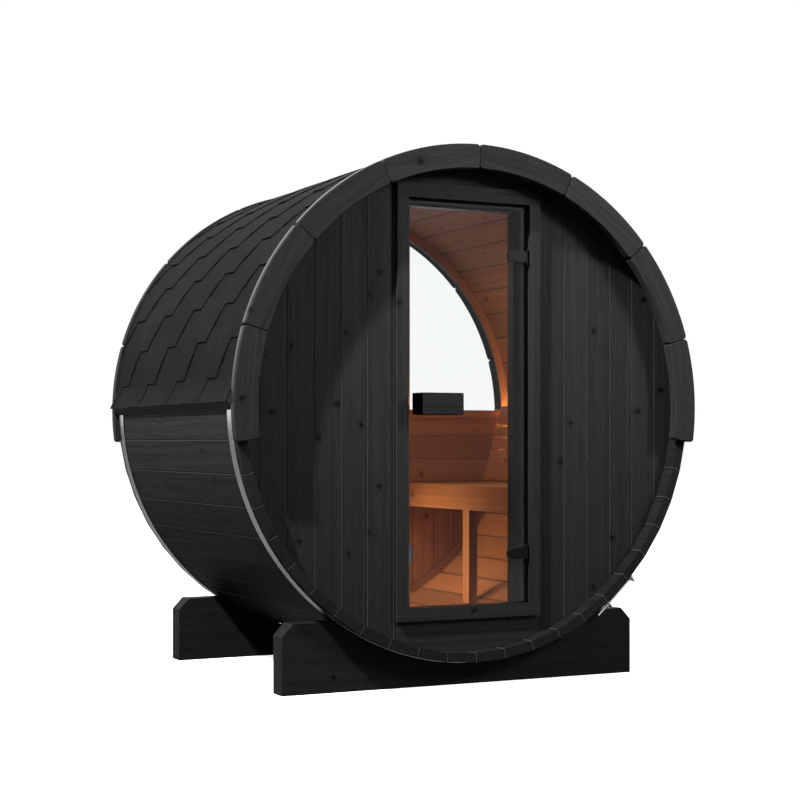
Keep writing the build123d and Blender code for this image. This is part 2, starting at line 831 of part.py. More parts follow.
with BuildPart() as light_strip:
    with BuildSketch(backrest_plane):
        with Locations((backrest_thickness + light_strip_width / 2, lean_length - light_strip_height)):
            Rectangle(light_strip_width, light_strip_height)
    extrude(amount=back_stop - back_start)
finish(light_strip.part, "light_strip")
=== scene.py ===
"""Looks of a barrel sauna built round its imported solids: timber, shingles, glass, steel, light and camera."""

import logging
import math
from dataclasses import dataclass
from enum import Enum
from typing import Callable, Sequence, Union

import bpy
import numpy as np
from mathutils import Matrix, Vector


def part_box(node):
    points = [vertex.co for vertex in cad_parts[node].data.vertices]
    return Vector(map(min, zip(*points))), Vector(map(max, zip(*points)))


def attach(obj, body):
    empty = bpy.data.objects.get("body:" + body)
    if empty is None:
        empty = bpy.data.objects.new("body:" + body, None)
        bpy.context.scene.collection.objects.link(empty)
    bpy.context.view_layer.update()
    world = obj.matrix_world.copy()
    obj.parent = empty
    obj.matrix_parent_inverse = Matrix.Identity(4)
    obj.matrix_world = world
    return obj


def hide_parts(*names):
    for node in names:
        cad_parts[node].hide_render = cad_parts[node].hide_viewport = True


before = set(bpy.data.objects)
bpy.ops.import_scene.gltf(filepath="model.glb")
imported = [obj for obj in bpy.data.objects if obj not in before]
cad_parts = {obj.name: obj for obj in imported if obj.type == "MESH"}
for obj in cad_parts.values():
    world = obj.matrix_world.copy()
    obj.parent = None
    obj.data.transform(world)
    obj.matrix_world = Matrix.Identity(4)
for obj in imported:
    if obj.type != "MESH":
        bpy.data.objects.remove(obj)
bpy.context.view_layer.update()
LOG = logging.getLogger("barrel_sauna")

Colour = tuple[float, float, float]
Triple = tuple[float, float, float]
Pair = tuple[float, float]
Socket = bpy.types.NodeSocket
Sockets = dict[str, Socket]
Value = Union[Socket, float, Sequence[float]]

FLOAT = "NodeSocketFloat"
VECTOR = "NodeSocketVector"
COLOUR = "NodeSocketColor"

AXIS_HEIGHT = 1.107
STAVE_ANGLE = 7.5
STAVE_RADIUS = 0.972
BOARD_PITCH = 0.111
WALL_MIDDLE = -0.656
RING_FACE = 0.6985
FAR = 9.0

# Painted shade: heights and tones of the darkening of outside timber towards the ground.
LOW_SHADE_HEIGHTS: Pair = (0.15, 1.45)
LOW_SHADE_TONES: Pair = (0.66, 1.06)
WEAR_TONES: Pair = (0.86, 1.1)
EDGE_RAMP: Pair = (1.25, 0.8)
JOINT_SHADE: Colour = (0.003, 0.0024, 0.002)
END_SHADE: Colour = (0.0006, 0.0005, 0.0005)


class Graph:
    """A node tree that is being filled, with short calls for nodes, sums and mixes."""

    def __init__(self, tree: bpy.types.NodeTree) -> None:
        """Keeps the tree of a material, a world or a group."""
        self.tree = tree

    def put(self, socket: Socket, value: Value) -> None:
        """Links a socket to another one, or sets its plain value.

        Args:
            socket: the input to fill.
            value: a socket to link, or a number, a colour or a vector.
        """
        if isinstance(value, bpy.types.NodeSocket):
            self.tree.links.new(value, socket)
        elif isinstance(value, (tuple, list)) and len(value) == 3 and len(socket.default_value) == 4:
            socket.default_value = (*value, 1.0)
        else:
            socket.default_value = value

    def node(self, kind: str, inputs: dict[str | int, Value] | None = None, **settings: object) -> bpy.types.Node:
        """Adds a node.

        Args:
            kind: Blender's name of the node type.
            inputs: values or sockets for its inputs, by name or number.
            settings: the node's own properties.

        Returns:
            The new node.
        """
        made = self.tree.nodes.new(kind)
        for name, value in settings.items():
            setattr(made, name, value)
        for name, value in (inputs or {}).items():
            self.put(made.inputs[name], value)
        return made

    def place(self, effect: "Effect", values: dict[str | int, Value]) -> Sockets:
        """Places an effect's group with its values, and returns its outputs by name."""
        return self.node("ShaderNodeGroup", values, node_tree=effect.tree()).outputs

    def math(self, operation: str, *values: Value) -> Socket:
        """Returns the result of one Math node on one to three values."""
        return self.node("ShaderNodeMath", dict(enumerate(values)), operation=operation).outputs[0]

    def step(self, value: Value, low: Value, high: Value) -> Socket:
        """Returns a smooth ramp that is 0 at low and 1 at high, whichever of the two is larger."""
        inputs = {"Value": value, "From Min": low, "From Max": high}
        return self.node("ShaderNodeMapRange", inputs, interpolation_type="SMOOTHSTEP").outputs[0]

    def mix(self, factor: Value, a: Value, b: Value, blend: str = "MIX") -> Socket:
        """Returns the colour mix of a and b."""
        made = self.node("ShaderNodeMix", {0: factor, 6: a, 7: b}, data_type="RGBA", blend_type=blend)
        return made.outputs[2]

    def tint(self, colour: Value, tone: Value) -> Socket:
        """Returns the colour times a number."""
        return self.mix(1.0, colour, self.vector(tone, tone, tone), "MULTIPLY")

    def blend(self, factor: Value, a: Value, b: Value) -> Socket:
        """Returns the number a + (b - a) * factor."""
        return self.node("ShaderNodeMix", {0: factor, 2: a, 3: b}).outputs[0]

    def vector(self, x: Value, y: Value, z: Value) -> Socket:
        """Returns the vector of three numbers."""
        return self.node("ShaderNodeCombineXYZ", {"X": x, "Y": y, "Z": z}).outputs[0]

    def stretch(self, parts: Sequence[Value], factors: Sequence[Value]) -> Socket:
        """Returns the vector of three numbers, each times its factor."""
        return self.vector(*(self.math("MULTIPLY", part, factor) for part, factor in zip(parts, factors)))

    def split(self, vector: Value) -> list[Socket]:
        """Returns the three numbers of a vector."""
        return list(self.node("ShaderNodeSeparateXYZ", {"Vector": vector}).outputs)

    def length(self, a: Socket, b: Socket) -> Socket:
        """Returns the square root of a squared plus b squared."""
        return self.math("SQRT", self.math("ADD", self.math("MULTIPLY", a, a), self.math("MULTIPLY", b, b)))

    def noise(self, vector: Value, scale: Value, detail: float = 2.0, roughness: float = 0.5) -> Socket:
        """Returns smooth noise between about 0.2 and 0.8."""
        inputs = {"Vector": vector, "Scale": scale, "Detail": detail, "Roughness": roughness}
        return self.node("ShaderNodeTexNoise", inputs).outputs[0]

    def random(self, value: Value) -> Socket:
        """Returns a random number from 0 to 1 that stays the same for the same value."""
        return self.node("ShaderNodeTexWhiteNoise", {"W": value}, noise_dimensions="1D").outputs[0]

    def bump(self, height: Value, strength: float, distance: float) -> Socket:
        """Returns the normal of a surface with the given height."""
        inputs = {"Height": height, "Strength": strength, "Distance": distance}
        return self.node("ShaderNodeBump", inputs).outputs[0]


@dataclass(frozen=True)
class Effect:
    """A shader node group: its sockets' kinds by name, and the function that fills it."""

    name: str
    inputs: dict[str, str]
    outputs: dict[str, str]
    fill: Callable[[Graph, Sockets, Sockets], None]

    def tree(self) -> bpy.types.NodeTree:
        """Builds the group the first time.

        Returns:
            The group, new or already in the file.
        """
        if self.name in bpy.data.node_groups:
            return bpy.data.node_groups[self.name]
        tree = bpy.data.node_groups.new(self.name, "ShaderNodeTree")
        for way, sockets in (("INPUT", self.inputs), ("OUTPUT", self.outputs)):
            for label, kind in sockets.items():
                tree.interface.new_socket(name=label, in_out=way, socket_type=kind)
        g = Graph(tree)
        self.fill(g, g.node("NodeGroupInput").outputs, g.node("NodeGroupOutput").inputs)
        return tree


def fill_board_place(g: Graph, i: Sockets, o: Sockets) -> None:
    """Place within a row of boards.

    The board number is the whole part of (Across - Origin) / Pitch, and the place is measured from the
    middle of that board.

    Args:
        g: the group's graph.
        i: the group's inputs.
        o: the group's outputs.
    """
    shifted = g.math("SUBTRACT", i["Across"], i["Origin"])
    board = g.math("FLOOR", g.math("DIVIDE", shifted, i["Pitch"]))
    middle = g.math("MULTIPLY", g.math("ADD", board, 0.5), i["Pitch"])
    g.put(o["Place"], g.vector(g.math("SUBTRACT", shifted, middle), i["Through"], i["Along"]))
    g.put(o["Board"], board)


def fill_polar_place(g: Graph, i: Sockets, o: Sockets) -> None:
    """Angle and radius round the barrel's axis.

    The angle is that of (Z - axis height) over X in degrees, and runs from -180 to 180 from +X towards +Z.
    The radius is the length of the two.

    Args:
        g: the group's graph.
        i: the group's inputs.
        o: the group's outputs.
    """
    x, y, z = g.split(i["Coordinates"])
    up = g.math("SUBTRACT", z, AXIS_HEIGHT)
    g.put(o["Angle"], g.math("DEGREES", g.math("ARCTAN2", up, x)))
    g.put(o["Radius"], g.length(x, up))
    g.put(o["Length"], y)


def fill_round_place(g: Graph, i: Sockets, o: Sockets) -> None:
    """Place among boards that go round the barrel.

    The board number is the whole part of (Angle - Origin) / Pitch, and Off is the angle from that board's
    middle. Place is turned by the middle's angle: across is x cos + z sin, and along is z cos - x sin.

    Args:
        g: the group's graph.
        i: the group's inputs.
        o: the group's outputs.
    """
    x, y, z = g.split(i["Coordinates"])
    shifted = g.math("FLOORED_MODULO", g.math("SUBTRACT", i["Angle"], i["Origin"]), 360.0)
    board = g.math("FLOOR", g.math("DIVIDE", shifted, i["Pitch"]))
    turned = g.math("MULTIPLY", g.math("ADD", board, 0.5), i["Pitch"])
    turn = g.math("RADIANS", g.math("ADD", turned, i["Origin"]))
    cosine, sine = g.math("COSINE", turn), g.math("SINE", turn)
    up = g.math("SUBTRACT", z, AXIS_HEIGHT)
    across = g.math("ADD", g.math("MULTIPLY", x, cosine), g.math("MULTIPLY", up, sine))
    along = g.math("SUBTRACT", g.math("MULTIPLY", up, cosine), g.math("MULTIPLY", x, sine))
    g.put(o["Place"], g.vector(across, y, along))
    g.put(o["Off"], g.math("SUBTRACT", shifted, turned))
    g.put(o["Board"], board)


def fill_room_mask(g: Graph, i: Sockets, o: Sockets) -> None:
    """Mask that is 1 on the faces that look into the room and 0 outside.

    It is the product of three steps: length above Front, length below Rear, radius below Radius.

    Args:
        g: the group's graph.
        i: the group's inputs.
        o: the group's outputs.
    """
    beyond = g.math("GREATER_THAN", i["Length"], i["Front"])
    before = g.math("LESS_THAN", i["Length"], i["Rear"])
    within = g.math("LESS_THAN", i["From Axis"], i["Radius"])
    g.put(o["Inside"], g.math("MULTIPLY", g.math("MULTIPLY", beyond, before), within))


@dataclass(frozen=True)
class Grain:
    """Numbers of the grain and knots of a sawn board, in metres or in lines and cells per metre."""

    board_shift: Triple = (0.37, 0.91, 1.83)
    knot_cells: Triple = (9.0, 3.0, 2.1)
    knot_flatness: Pair = (0.6, 0.8)
    knot_height: float = 0.72
    core: Pair = (0.0105, 0.0060)
    halo: Pair = (0.024, 0.010)
    halo_share: float = 0.4
    wobble_scale: float = 90.0
    wobble: float = 0.011
    whisker_stretch: Pair = (0.3, 1.9)
    whisker: Pair = (0.0105, 0.005)
    bend_scale: float = 32.0
    bend: float = 0.8
    sway_scale: float = 2.2
    sway: float = 0.006
    wide_lines: Triple = (70.0, 40.0, 0.8)
    fine_lines: Triple = (420.0, 300.0, 7.0)
    cracks: Triple = (150.0, 90.0, 3.2)
    crack_edge: Pair = (0.725, 0.79)
    crack_share: float = 0.8

    def fill(self, g: Graph, i: Sockets, o: Sockets) -> None:
        """Grain streaks and knots.

        Each board gets its own shift. A knot sits at a random point of a stretched cell. Its distance is the
        ellipse length from that point. The grain's across place is drawn towards the knot's middle by a bell
        of that distance, so the lines bend round it. Streaks are stretched noise of the bent place.

        Args:
            g: the group's graph.
            i: the group's inputs.
            o: the group's outputs.
        """
        shift = g.stretch([i["Board"]] * 3, self.board_shift)
        place = g.node("ShaderNodeVectorMath", {0: i["Place"], 1: shift}, operation="ADD").outputs[0]
        across, through, along = g.split(place)
        cell = g.stretch((across, through, along), self.knot_cells)
        knots = g.node("ShaderNodeTexVoronoi", {"Vector": cell, "Scale": 1.0})
        knot_x, _, knot_z = g.split(knots.outputs["Position"])
        near_x = g.math("SUBTRACT", across, g.math("DIVIDE", knot_x, self.knot_cells[0]))
        near_z = g.math("SUBTRACT", along, g.math("DIVIDE", knot_z, self.knot_cells[2]))
        chance = g.split(knots.outputs["Color"])
        shown = g.math("LESS_THAN", chance[0], i["Knots"])
        flat = g.math("ADD", self.knot_flatness[0], g.math("MULTIPLY", chance[1], self.knot_flatness[1]))
        reach = g.length(g.math("MULTIPLY", near_x, flat), g.math("MULTIPLY", near_z, self.knot_height))
        ragged = g.math("SUBTRACT", g.noise(place, self.wobble_scale, 2.0), 0.5)
        wobble = g.math("MULTIPLY", ragged, self.wobble)
        reach = g.math("ADD", reach, wobble)
        slant = g.math("ADD", near_z, g.math("MULTIPLY", near_x, g.math("SUBTRACT", chance[2], 0.5)))
        wide, tall = self.whisker_stretch
        whisker = g.length(g.math("MULTIPLY", near_x, wide), g.math("MULTIPLY", slant, tall))
        whisker = g.math("ADD", whisker, g.math("MULTIPLY", wobble, 0.8))
        squared = g.math("POWER", g.math("MULTIPLY", reach, self.bend_scale), 2.0)
        bell = g.math("EXPONENT", g.math("MULTIPLY", squared, -1.0))
        pull = g.math("MULTIPLY", g.math("MULTIPLY", bell, shown), self.bend)
        bent = g.math("SUBTRACT", across, g.math("MULTIPLY", near_x, pull))
        sway = g.noise(g.vector(across, through, along), self.sway_scale, 1.0)
        bent = g.math("ADD", bent, g.math("MULTIPLY", sway, self.sway))
        lines = (bent, through, along)
        wide = g.noise(g.stretch(lines, self.wide_lines), 1.0, 3.0, 0.6)
        fine = g.noise(g.stretch(lines, self.fine_lines), 1.0, 2.0, 0.6)
        streak = g.math("ADD", g.math("MULTIPLY", wide, 0.5), g.math("MULTIPLY", fine, 0.5))
        g.put(o["Streak"], g.step(streak, 0.3, 0.7))
        crack = g.step(g.noise(g.stretch(lines, self.cracks), 1.0, 1.0), *self.crack_edge)
        core = g.math("MULTIPLY", g.step(reach, *self.core), shown)
        g.put(o["Knot"], g.math("MAXIMUM", core, g.math("MULTIPLY", crack, self.crack_share)))
        around = g.math("MULTIPLY", g.step(reach, *self.halo), self.halo_share)
        halo = g.math("MAXIMUM", around, g.step(whisker, *self.whisker))
        g.put(o["Halo"], g.math("MULTIPLY", halo, shown))
        ridge = g.math("ADD", g.math("MULTIPLY", fine, 0.6), g.math("MULTIPLY", wide, 0.4))
        g.put(o["Height"], g.math("SUBTRACT", ridge, g.math("MULTIPLY", core, 0.35)))


def fill_stained(g: Graph, i: Sockets, o: Sockets) -> None:
    """Stained boards: streaks from dark to light, times each board's own tone, then the knots.

    Args:
        g: the group's graph.
        i: the group's inputs.
        o: the group's outputs.
    """
    base = g.mix(i["Streak"], i["Dark"], i["Light"])
    tone = g.blend(g.random(g.math("ADD", i["Board"], 0.37)), i["Low Tone"], i["High Tone"])
    base = g.tint(base, tone)
    base = g.mix(g.math("MULTIPLY", i["Halo"], 0.5), base, i["Knot Colour"])
    g.put(o["Colour"], g.mix(g.math("MULTIPLY", i["Knot"], 0.85), base, i["Knot Colour"]))


def fill_painted_low_shade(g: Graph, i: Sockets, o: Sockets) -> None:
    """Painted shade, darker low down: the colour times a tone that rises smoothly with the height.

    Args:
        g: the group's graph.
        i: the group's inputs.
        o: the group's outputs.
    """
    tone = g.blend(g.step(i["Height"], *LOW_SHADE_HEIGHTS), *LOW_SHADE_TONES)
    g.put(o["Colour"], g.tint(i["Colour"], tone))


def fill_board_edges(g: Graph, i: Sockets, o: Sockets) -> None:
    """Edges of a board: painted highlight on its low side, painted shade on its high side, and dark joint lines.

    An edge is a smooth ramp of the distance from that side, between two multiples of the facet, and a joint
    line is one from the line's width to half of it.

    Args:
        g: the group's graph.
        i: the group's inputs.
        o: the group's outputs.
    """
    begins, full = (g.math("MULTIPLY", i["Facet"], share) for share in EDGE_RAMP)
    low = g.math("ADD", i["Half Width"], i["Across"])
    high = g.math("SUBTRACT", i["Half Width"], i["Across"])
    # Painted highlight on the low side's facet and painted shade on the high side's facet, as light falls across a
    # grooved joint.
    colour = g.mix(g.math("MULTIPLY", g.step(low, begins, full), 0.6), i["Colour"], i["Edge Highlight"])
    colour = g.mix(g.math("MULTIPLY", g.step(high, begins, full), 0.5), colour, i["Dull"])
    side = g.math("MINIMUM", low, high)
    line = g.step(side, i["Line Width"], g.math("MULTIPLY", i["Line Width"], 0.5))
    g.put(o["Colour"], g.mix(g.math("MULTIPLY", line, 0.9), colour, JOINT_SHADE))


def fill_brushed(g: Graph, i: Sockets, o: Sockets) -> None:
    """Brushed metal: stretched noise for the brush lines, and the same times wide noise for the wear.

    Args:
        g: the group's graph.
        i: the group's inputs.
        o: the group's outputs.
    """
    stretched = g.stretch(g.split(i["Coordinates"]), g.split(i["Stretch"]))
    brush = g.noise(stretched, 1.0, 2.0)
    g.put(o["Brush"], brush)
    smudge = g.noise(i["Coordinates"], 6.0, 2.0)
    g.put(o["Wear"], g.blend(g.math("MULTIPLY", brush, smudge), *WEAR_TONES))


def kinds(kind: str, *labels: str) -> dict[str, str]:
    """Returns one socket kind for every label."""
    return dict.fromkeys(labels, kind)


BOARD_PLACE = Effect(
    "board_place", kinds(FLOAT, "Across", "Through", "Along", "Pitch", "Origin"),
    {"Place": VECTOR, "Board": FLOAT}, fill_board_place,
)
POLAR_PLACE = Effect(
    "polar_place", {"Coordinates": VECTOR}, kinds(FLOAT, "Angle", "Radius", "Length"), fill_polar_place
)
ROUND_PLACE = Effect(
    "round_place", {"Coordinates": VECTOR, **kinds(FLOAT, "Angle", "Pitch", "Origin")},
    {"Place": VECTOR, **kinds(FLOAT, "Off", "Board")}, fill_round_place,
)
ROOM_MASK = Effect(
    "room_mask", kinds(FLOAT, "Length", "From Axis", "Front", "Rear", "Radius"), {"Inside": FLOAT}, fill_room_mask
)
TIMBER_GRAIN = Effect(
    "timber_grain", {"Place": VECTOR, **kinds(FLOAT, "Board", "Knots")},
    kinds(FLOAT, "Streak", "Knot", "Halo", "Height"), Grain().fill,
)
STAINED = Effect(
    "stained", {
        **kinds(FLOAT, "Streak", "Knot", "Halo", "Board", "Low Tone", "High Tone"),
        **kinds(COLOUR, "Dark", "Light", "Knot Colour"),
    }, {"Colour": COLOUR}, fill_stained,
)
PAINTED_LOW_SHADE = Effect("painted_low_shade", {"Colour": COLOUR, "Height": FLOAT}, {"Colour": COLOUR}, fill_painted_low_shade)
BOARD_EDGES = Effect(
    "board_edges", {
        **kinds(COLOUR, "Colour", "Edge Highlight", "Dull"), **kinds(FLOAT, "Across", "Half Width", "Facet", "Line Width"),
    }, {"Colour": COLOUR}, fill_board_edges,
)
BRUSHED = Effect("brushed", kinds(VECTOR, "Coordinates", "Stretch"), kinds(FLOAT, "Brush", "Wear"), fill_brushed)


class Lay(Enum):
    """How the boards of a piece lie, which sets the direction of their grain."""

    UPRIGHT = "boards side by side across the width, grain up"
    LYING = "boards on top of each other, grain across the width"
    LONG = "boards side by side across the width, grain along the barrel"
    STACKED = "boards on top of each other, grain along the barrel"
    STAVES = "boards round the barrel, grain along it"
    BLOCKS = "straight pieces round the barrel's end, grain along each piece"


@dataclass(frozen=True)
class Stain:
    """Colours of one timber finish, as linear values, and whether painted shade darkens it low down."""

    dark: Colour
    light: Colour
    knot: Colour
    rough: float
    gloss: float
    spread: float
    # Colour of the painted highlight on each board's low edge.
    edge_highlight: Colour = (0.110, 0.111, 0.112)
    # Whether painted shade darkens the stain towards the ground.
    painted_low_shade: bool = True


CHARCOAL = Stain((0.0145, 0.0147, 0.0150), (0.0300, 0.0300, 0.0300), (0.0034, 0.0034, 0.0037), 0.5, 0.05, 0.30)
SHADED = Stain((0.0105, 0.0106, 0.0110), (0.0215, 0.0215, 0.0215), (0.0034, 0.0034, 0.0037), 0.5, 0.04, 0.24)
PALE = Stain((0.0310, 0.0310, 0.0300), (0.0620, 0.0620, 0.0600), (0.0060, 0.0060, 0.0060), 0.5, 0.05, 0.20)
BLOCK_BLACK = Stain((0.016, 0.0163, 0.0166), (0.026, 0.0262, 0.0262), (0.006, 0.006, 0.006), 0.45, 0.0, 0.1)
WARM = Stain((0.29, 0.112, 0.046), (0.43, 0.182, 0.080), (0.14, 0.05, 0.022), 0.55, 0.2, 0.30, painted_low_shade=False)
HONEY = Stain((0.38, 0.150, 0.058), (0.55, 0.245, 0.100), (0.20, 0.08, 0.035), 0.5, 0.2, 0.12, painted_low_shade=False)


@dataclass(frozen=True)
class Finish:
    """A finish that makes its material once, under its own name."""

    name: str

    def material(self) -> bpy.types.Material:
        """Builds the material the first time.

        Returns:
            The material, new or already in the file.
        """
        if self.name in bpy.data.materials:
            return bpy.data.materials[self.name]
        made = bpy.data.materials.new(self.name)
        made.use_nodes = True
        self.paint(Graph(made.node_tree), made.node_tree.nodes["Principled BSDF"])
        return made

    def paint(self, g: Graph, shader: bpy.types.Node) -> None:
        """Fills the shader, in each kind of finish in its own way."""
        raise NotImplementedError


@dataclass(frozen=True)
class Timber(Finish):
    """A timber finish: its boards, its stain outside, and its stain towards the room."""

    lay: Lay
    outside: Stain = CHARCOAL
    inside: Stain | None = None
    pitch: float = BOARD_PITCH
    origin: float = 0.0
    knots: float = 0.45
    front: float = -FAR
    rear: float = FAR
    radius: float = FAR
    joint: float = 0.0
    facet: float = 0.0
    line_width: float = 0.0012
    rough_swing: float = 0.08
    relief: float = 0.35
    relief_depth: float = 0.0012
    coat_radius: float = 0.0
    coat_from: float = -0.755
    coat_rough: float = 0.12
    coat_fade: float = 0.34
    black_below: float = -FAR
    change_height: float = 0.0
    first_lying: float = 40.0

    def places(self, g: Graph, coordinates: Socket, polar: Sockets) -> tuple[Socket, Socket]:
        """Finds the place within a board for this lay.

        Args:
            g: the material's graph.
            coordinates: the object coordinates.
            polar: angle, radius and length round the barrel's axis.

        Returns:
            The place from the board's middle, and the board's number.
        """
        x, y, z = g.split(coordinates)
        if self.lay in (Lay.STAVES, Lay.BLOCKS):
            turned = g.place(ROUND_PLACE, {
                "Coordinates": coordinates, "Angle": polar["Angle"], "Pitch": self.pitch, "Origin": self.origin,
            })
            if self.lay is Lay.BLOCKS:
                return turned["Place"], turned["Board"]
            arc = g.math("MULTIPLY", g.math("RADIANS", turned["Off"]), STAVE_RADIUS)
            return g.vector(arc, polar["Radius"], y), turned["Board"]
        row = self._row(g, *{
            Lay.UPRIGHT: (x, y, z),
            Lay.LYING: (z, y, x),
            Lay.LONG: (x, z, y),
            Lay.STACKED: (z, x, y),
        }[self.lay])
        if not self.change_height:
            return row["Place"], row["Board"]
        lying = self._row(g, z, y, x)
        high = g.math("GREATER_THAN", z, self.change_height)
        place = g.node("ShaderNodeMix", {0: high, 4: row["Place"], 5: lying["Place"]}, data_type="VECTOR").outputs[1]
        return place, g.blend(high, row["Board"], g.math("ADD", lying["Board"], self.first_lying))

    def _row(self, g: Graph, across: Socket, through: Socket, along: Socket) -> Sockets:
        """Returns the place and number of a board in a row that runs across."""
        values = {"Across": across, "Through": through, "Along": along, "Pitch": self.pitch, "Origin": self.origin}
        return g.place(BOARD_PLACE, values)

    def _stained(self, g: Graph, stain: Stain, grain: Sockets, board: Socket) -> Socket:
        """Paints the boards with one stain.

        Args:
            g: the material's graph.
            stain: its colours.
            grain: streaks, knots and halos.
            board: the board's number.

        Returns:
            The colour.
        """
        values = {name: grain[name] for name in ("Streak", "Knot", "Halo")}
        values |= {"Board": board, "Low Tone": 1.0 - stain.spread / 2, "High Tone": 1.0 + stain.spread / 2}
        values |= {"Dark": stain.dark, "Light": stain.light, "Knot Colour": stain.knot}
        return g.place(STAINED, values)["Colour"]

    def _coat(self, g: Graph, polar: Sockets, height: Socket) -> Socket:
        """Weight of the gloss on a thin strip along the front blocks' outer edge, fading towards the eaves.

        Args:
            g: the material's graph.
            polar: angle, radius and length round the barrel's axis.
            height: the height above the ground.

        Returns:
            The coat's weight.
        """
        rim = g.step(polar["Radius"], self.coat_radius - 0.002, self.coat_radius)
        strip = g.step(polar["Length"], self.coat_from, self.coat_from + 0.003)
        strip = g.math("MULTIPLY", strip, g.math("LESS_THAN", polar["Length"], 0.0))
        high = g.step(height, AXIS_HEIGHT - 0.02, AXIS_HEIGHT + self.coat_fade)
        return g.math("MULTIPLY", g.math("MULTIPLY", rim, strip), g.blend(high, 0.25, 1.0))

    def paint(self, g: Graph, shader: bpy.types.Node) -> None:
        """Paints the stain, the painted shade low down, the room's stain and the joints.

        Args:
            g: the material's graph.
            shader: its Principled BSDF.
        """
        coordinates = g.node("ShaderNodeTexCoord").outputs["Object"]
        from_middle, _, height = g.split(coordinates)
        polar = g.place(POLAR_PLACE, {"Coordinates": coordinates})
        place, board = self.places(g, coordinates, polar)
        grain = g.place(TIMBER_GRAIN, {"Place": place, "Board": board, "Knots": self.knots})
        colour = self._stained(g, self.outside, grain, board)
        # Painted shade: outside timber darker towards the ground, a little lighter high up.
        if self.outside.painted_low_shade:
            colour = g.place(PAINTED_LOW_SHADE, {"Colour": colour, "Height": height})["Colour"]
        swing = self.rough_swing
        rough = g.blend(grain["Streak"], self.outside.rough + swing, self.outside.rough - swing)
        if self.inside is not None:
            room = g.place(ROOM_MASK, {
                "Length": polar["Length"], "From Axis": polar["Radius"],
                "Front": self.front, "Rear": self.rear, "Radius": self.radius,
            })["Inside"]
            colour = g.mix(room, colour, self._stained(g, self.inside, grain, board))
            rough = g.blend(room, rough, self.inside.rough)
        if self.facet:
            # Painted highlight and painted shade on the two edges of each board, and dark joint lines.
            colour = g.place(BOARD_EDGES, {
                "Colour": colour, "Edge Highlight": self.outside.edge_highlight, "Dull": self.outside.knot,
                "Across": g.split(place)[0], "Half Width": self.joint or self.pitch / 2,
                "Facet": self.facet, "Line Width": self.line_width,
            })["Colour"]
        if self.coat_radius:
            g.put(shader.inputs["Coat Weight"], self._coat(g, polar, height))
            shader.inputs["Coat Roughness"].default_value = self.coat_rough
        if self.black_below > -FAR:
            end_face = g.math("LESS_THAN", from_middle, self.black_below)
            colour = g.mix(end_face, colour, END_SHADE)
        g.put(shader.inputs["Base Color"], colour)
        g.put(shader.inputs["Roughness"], rough)
        shader.inputs["Specular IOR Level"].default_value = self.outside.gloss
        g.put(shader.inputs["Normal"], g.bump(grain["Height"], self.relief, self.relief_depth))


@dataclass(frozen=True)
class Metal(Finish):
    """A brushed or painted metal finish with fine streaks along one direction."""

    colour: Colour
    rough: float
    metallic: float = 1.0
    brush: Triple = (30.0, 900.0, 30.0)
    gloss: float = 0.5
    relief: float = 0.15
    relief_depth: float = 0.0004

    def paint(self, g: Graph, shader: bpy.types.Node) -> None:
        """Paints the wear in the colour, and the brush lines in the roughness and the height.

        Args:
            g: the material's graph.
            shader: its Principled BSDF.
        """
        coordinates = g.node("ShaderNodeTexCoord").outputs["Object"]
        lines = g.place(BRUSHED, {"Coordinates": coordinates, "Stretch": self.brush})
        g.put(shader.inputs["Base Color"], g.tint(self.colour, lines["Wear"]))
        g.put(shader.inputs["Roughness"], g.blend(lines["Brush"], self.rough - 0.06, self.rough + 0.1))
        shader.inputs["Metallic"].default_value = self.metallic
        shader.inputs["Specular IOR Level"].default_value = self.gloss
        g.put(shader.inputs["Normal"], g.bump(lines["Brush"], self.relief, self.relief_depth))


@dataclass(frozen=True)
class Glass(Finish):
    """Clear glass, with the small share of lamp light that falls through it."""

    tint: Colour = (0.96, 0.975, 0.97)
    rough: float = 0.0
    bend: float = 1.19
    let_through: Colour = (0.06, 0.06, 0.06)

    def paint(self, g: Graph, shader: bpy.types.Node) -> None:
        """Makes the glass, and swaps it for plain see-through on shadow and diffuse rays.

        Args:
            g: the material's graph.
            shader: its Principled BSDF.
        """
        shader.inputs["Base Color"].default_value = (*self.tint, 1.0)
        shader.inputs["Roughness"].default_value = self.rough
        shader.inputs["Transmission Weight"].default_value = 1.0
        shader.inputs["IOR"].default_value = self.bend
        clear = g.node("ShaderNodeBsdfTransparent", {"Color": self.let_through})
        path = g.node("ShaderNodeLightPath").outputs
        through = g.math("MAXIMUM", path["Is Shadow Ray"], path["Is Diffuse Ray"])
        mixed = g.node("ShaderNodeMixShader", {0: through, 1: shader.outputs[0], 2: clear.outputs[0]})
        g.put(g.tree.nodes["Material Output"].inputs["Surface"], mixed.outputs[0])


@dataclass(frozen=True)
class Glow(Finish):
    """A warm lamp diffuser."""

    colour: Colour
    strength: float
    rough: float = 0.4

    def paint(self, g: Graph, shader: bpy.types.Node) -> None:
        """Makes the diffuser glow in its own colour.

        Args:
            g: the material's graph, left as it is.
            shader: its Principled BSDF.
        """
        shader.inputs["Base Color"].default_value = (*self.colour, 1.0)
        shader.inputs["Roughness"].default_value = self.rough
        shader.inputs["Emission Color"].default_value = (*self.colour, 1.0)
        shader.inputs["Emission Strength"].default_value = self.strength


